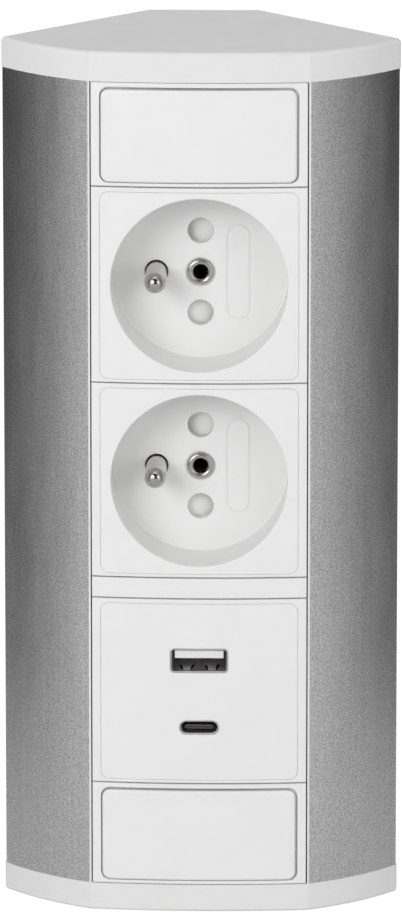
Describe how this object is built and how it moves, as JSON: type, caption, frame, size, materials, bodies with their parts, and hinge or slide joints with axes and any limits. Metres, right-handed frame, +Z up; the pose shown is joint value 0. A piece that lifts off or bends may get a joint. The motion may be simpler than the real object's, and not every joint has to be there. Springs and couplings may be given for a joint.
{
  "type": "corner desk power socket",
  "caption": "Upright corner desk power socket: curved aluminium profile with white end caps, shuttered mains sockets with an earth pin, a USB charger module and blank plates",
  "frame": {"origin": "middle of the footprint, on the surface that the socket stands on", "axes": "+Z up along the profile, -Y to the front with the sockets, +X to the right seen from the front"},
  "size_m": [0.09, 0.0516, 0.1999],
  "materials": {
    "satin_aluminium": "fine grained satin anodising",
    "white_plastic": "smooth, slightly glossy white",
    "shutter_plastic": "smooth white",
    "tongue_plastic": "smooth white",
    "grey_plastic": "plain moulded light grey",
    "black_plastic": "fine matt black",
    "plated_brass": "bright nickel plating",
    "contact_brass": "plain stamped brass",
    "gilt_contacts": "thin gilt plating",
    "shell_steel": "nickel plated sheet",
    "steel": "zinc plated",
    "circuit_board": "green solder resist",
    "capacitor_sleeve": "dark shrink sleeve",
    "green_plastic": "moulded green",
    "brown_insulation": "smooth insulation",
    "blue_insulation": "smooth insulation",
    "green_insulation": "smooth insulation"
  },
  "bodies": {
    "housing": {"aluminium_profile": "satin_aluminium", "top_cap": "white_plastic", "bottom_cap": "white_plastic", "bottom_cap_screws": "steel", "cable_bushing": "black_plastic", "bushing_nut": "black_plastic", "blank_frame_top": "white_plastic", "blank_cover_top": "white_plastic", "blank_frame_bottom": "white_plastic", "blank_cover_bottom": "white_plastic", "filler_strip": "white_plastic", "socket_frame_1": "white_plastic", "socket_face_1": "white_plastic", "earth_pin_1": "plated_brass", "centre_rivet_1": "plated_brass", "shutter_spring_1": "steel", "contact_base_1": "grey_plastic", "base_cover_1": "grey_plastic", "live_contact_1": "contact_brass", "neutral_contact_1": "contact_brass", "earth_strap_1": "contact_brass", "socket_frame_2": "white_plastic", "socket_face_2": "white_plastic", "earth_pin_2": "plated_brass", "centre_rivet_2": "plated_brass", "shutter_spring_2": "steel", "contact_base_2": "grey_plastic", "base_cover_2": "grey_plastic", "live_contact_2": "contact_brass", "neutral_contact_2": "contact_brass", "earth_strap_2": "contact_brass", "terminal_screws": "steel", "base_cover_screws": "steel", "usb_frame": "white_plastic", "usb_face": "white_plastic", "usb_a_shell": "shell_steel", "usb_a_tongue": "tongue_plastic", "usb_a_contacts": "gilt_contacts", "usb_c_shell": "shell_steel", "usb_c_tongue": "black_plastic", "usb_c_contacts": "gilt_contacts", "usb_housing": "grey_plastic", "usb_board": "circuit_board", "usb_transformer": "black_plastic", "usb_capacitors": "capacitor_sleeve", "usb_chips": "black_plastic", "usb_terminal": "green_plastic", "usb_board_screws": "steel", "live_wires": "brown_insulation", "neutral_wires": "blue_insulation", "earth_wires": "green_insulation", "earth_bond_screw": "steel"},
    "shutter_1": {"shutter_1": "shutter_plastic"},
    "shutter_2": {"shutter_2": "shutter_plastic"}
  },
  "joints": [
    {"name": "shutter_turn_1", "type": "hinge", "parent": "housing", "child": "shutter_1", "pos_m": [0, -0.00725, 0.1465], "axis": [0, 1, 0], "range_deg": [0, 40], "stiffness_Nm_per_rad": 0.002, "springref_deg": -28.65, "deforming": ["shutter_spring_1"]},
    {"name": "shutter_turn_2", "type": "hinge", "parent": "housing", "child": "shutter_2", "pos_m": [0, -0.00725, 0.1013], "axis": [0, 1, 0], "range_deg": [0, 40], "stiffness_Nm_per_rad": 0.002, "springref_deg": -28.65, "deforming": ["shutter_spring_2"]}
  ]
}
